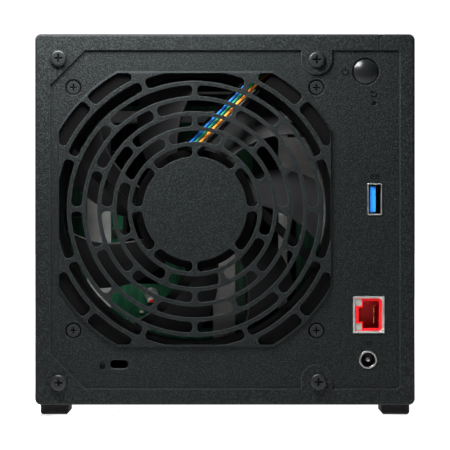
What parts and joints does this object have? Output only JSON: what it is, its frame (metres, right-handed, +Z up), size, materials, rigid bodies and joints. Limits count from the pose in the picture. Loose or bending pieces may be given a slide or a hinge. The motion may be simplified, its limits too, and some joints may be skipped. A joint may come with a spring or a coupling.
{
  "type": "network storage enclosure",
  "caption": "Desktop network-storage case with vertical pull-out drive trays, exhaust fan behind a ring grille, and rear ports and buttons.",
  "frame": {"origin": "middle of the footprint, on the surface the feet stand on", "axes": "+Z up, -Y the front with the drive trays, +Y the rear with the fan and ports"},
  "size_m": [0.164, 0.218, 0.165],
  "materials": {
    "cover_paint": "charcoal fine-textured powder coat",
    "front_plastic": "fine moulded grain",
    "tray_plastic": "fine moulded grain",
    "lever_plastic": "satin moulded",
    "fan_plastic": "satin black",
    "rotor_plastic": "satin black",
    "foot_rubber": "matt",
    "black_screw": "black zinc",
    "zinc_steel": "galvanised",
    "plain_steel": "ground",
    "board_green": "solder mask",
    "chip_black": "moulded",
    "sink_aluminium": "extruded",
    "shield_steel": "nickel plated",
    "socket_red": "moulded",
    "contact_gold": "plated",
    "window_clear": "milky clear",
    "light_pipe_clear": "milky clear",
    "usb_blue": "moulded",
    "jack_black": "moulded",
    "jack_chrome": "polished",
    "button_black": "satin",
    "plunger_white": "moulded",
    "winding_copper": "enamelled copper",
    "magnet_grey": "bonded",
    "bearing_brass": "sintered",
    "socket_black": "moulded",
    "plug_white": "nylon",
    "wire_blue": "insulation",
    "wire_green": "insulation",
    "wire_yellow": "insulation",
    "wire_black": "insulation"
  },
  "bodies": {
    "chassis": {"outer_cover": "cover_paint", "side_panel": "cover_paint", "rear_panel": "cover_paint", "cover_screws": "black_screw", "fan_screws": "black_screw", "rubber_feet": "foot_rubber", "front_bezel": "front_plastic", "led_light_pipes": "light_pipe_clear", "mainboard": "board_green", "switch_board": "board_green", "front_io_board": "board_green", "tact_switches": "chip_black", "board_standoffs": "bearing_brass", "board_screws": "plain_steel", "mainboard_chips": "chip_black", "heatsink": "sink_aluminium", "capacitors": "sink_aluminium", "coin_cell": "plain_steel", "lan_shield": "shield_steel", "lan_insert": "socket_red", "lan_contacts": "contact_gold", "lan_leds": "window_clear", "usb_shells": "shield_steel", "usb_tongues": "usb_blue", "dc_jack_body": "jack_black", "dc_jack_sleeve": "jack_chrome", "dc_jack_pin": "jack_chrome", "base_pan": "zinc_steel", "cage_side_walls": "zinc_steel", "cage_shelves": "zinc_steel", "tray_guides": "socket_black", "backplane_board": "board_green", "backplane_bracket": "zinc_steel", "sata_sockets": "socket_black", "fan_frame": "fan_plastic", "fan_bearing": "bearing_brass", "fan_stator": "winding_copper", "fan_plug": "plug_white", "fan_wire_blue": "wire_blue", "fan_wire_green": "wire_green", "fan_wire_yellow": "wire_yellow", "fan_wire_black": "wire_black"},
    "fan_rotor": {"fan_impeller": "rotor_plastic", "fan_magnet": "magnet_grey", "fan_shaft": "plain_steel"},
    "power_button": {"power_button": "button_black"},
    "reset_button": {"reset_button": "plunger_white"},
    "backup_button": {"backup_button": "button_black"},
    "tray_1": {"drive_tray_1": "tray_plastic", "lever_pin_1": "plain_steel"},
    "lever_1": {"tray_lever_1": "lever_plastic"},
    "tray_2": {"drive_tray_2": "tray_plastic", "lever_pin_2": "plain_steel"},
    "lever_2": {"tray_lever_2": "lever_plastic"},
    "tray_3": {"drive_tray_3": "tray_plastic", "lever_pin_3": "plain_steel"},
    "lever_3": {"tray_lever_3": "lever_plastic"},
    "tray_4": {"drive_tray_4": "tray_plastic", "lever_pin_4": "plain_steel"},
    "lever_4": {"tray_lever_4": "lever_plastic"}
  },
  "joints": [
    {"name": "fan_spin", "type": "hinge", "parent": "chassis", "child": "fan_rotor", "pos_m": [0.013, 0.0925, 0.0895], "axis": [0, 1, 0], "continuous": true},
    {"name": "power_press", "type": "slide", "parent": "chassis", "child": "power_button", "axis": [0, -1, 0], "range_m": [0, 0.0015], "stiffness_N_per_m": 800},
    {"name": "reset_press", "type": "slide", "parent": "chassis", "child": "reset_button", "axis": [0, -1, 0], "range_m": [0, 0.0008], "stiffness_N_per_m": 800},
    {"name": "backup_press", "type": "slide", "parent": "chassis", "child": "backup_button", "axis": [0, 1, 0], "range_m": [0, 0.0012], "stiffness_N_per_m": 800},
    {"name": "tray_1_slide", "type": "slide", "parent": "chassis", "child": "tray_1", "axis": [0, -1, 0], "range_m": [0, 0.15]},
    {"name": "lever_1_swing", "type": "hinge", "parent": "tray_1", "child": "lever_1", "pos_m": [-0.031, -0.1057, 0.135], "axis": [-1, 0, 0], "range_deg": [0, 80]},
    {"name": "tray_2_slide", "type": "slide", "parent": "chassis", "child": "tray_2", "axis": [0, -1, 0], "range_m": [0, 0.15]},
    {"name": "lever_2_swing", "type": "hinge", "parent": "tray_2", "child": "lever_2", "pos_m": [-0.001, -0.1057, 0.135], "axis": [-1, 0, 0], "range_deg": [0, 80]},
    {"name": "tray_3_slide", "type": "slide", "parent": "chassis", "child": "tray_3", "axis": [0, -1, 0], "range_m": [0, 0.15]},
    {"name": "lever_3_swing", "type": "hinge", "parent": "tray_3", "child": "lever_3", "pos_m": [0.029, -0.1057, 0.135], "axis": [-1, 0, 0], "range_deg": [0, 80]},
    {"name": "tray_4_slide", "type": "slide", "parent": "chassis", "child": "tray_4", "axis": [0, -1, 0], "range_m": [0, 0.15]},
    {"name": "lever_4_swing", "type": "hinge", "parent": "tray_4", "child": "lever_4", "pos_m": [0.059, -0.1057, 0.135], "axis": [-1, 0, 0], "range_deg": [0, 80]}
  ]
}
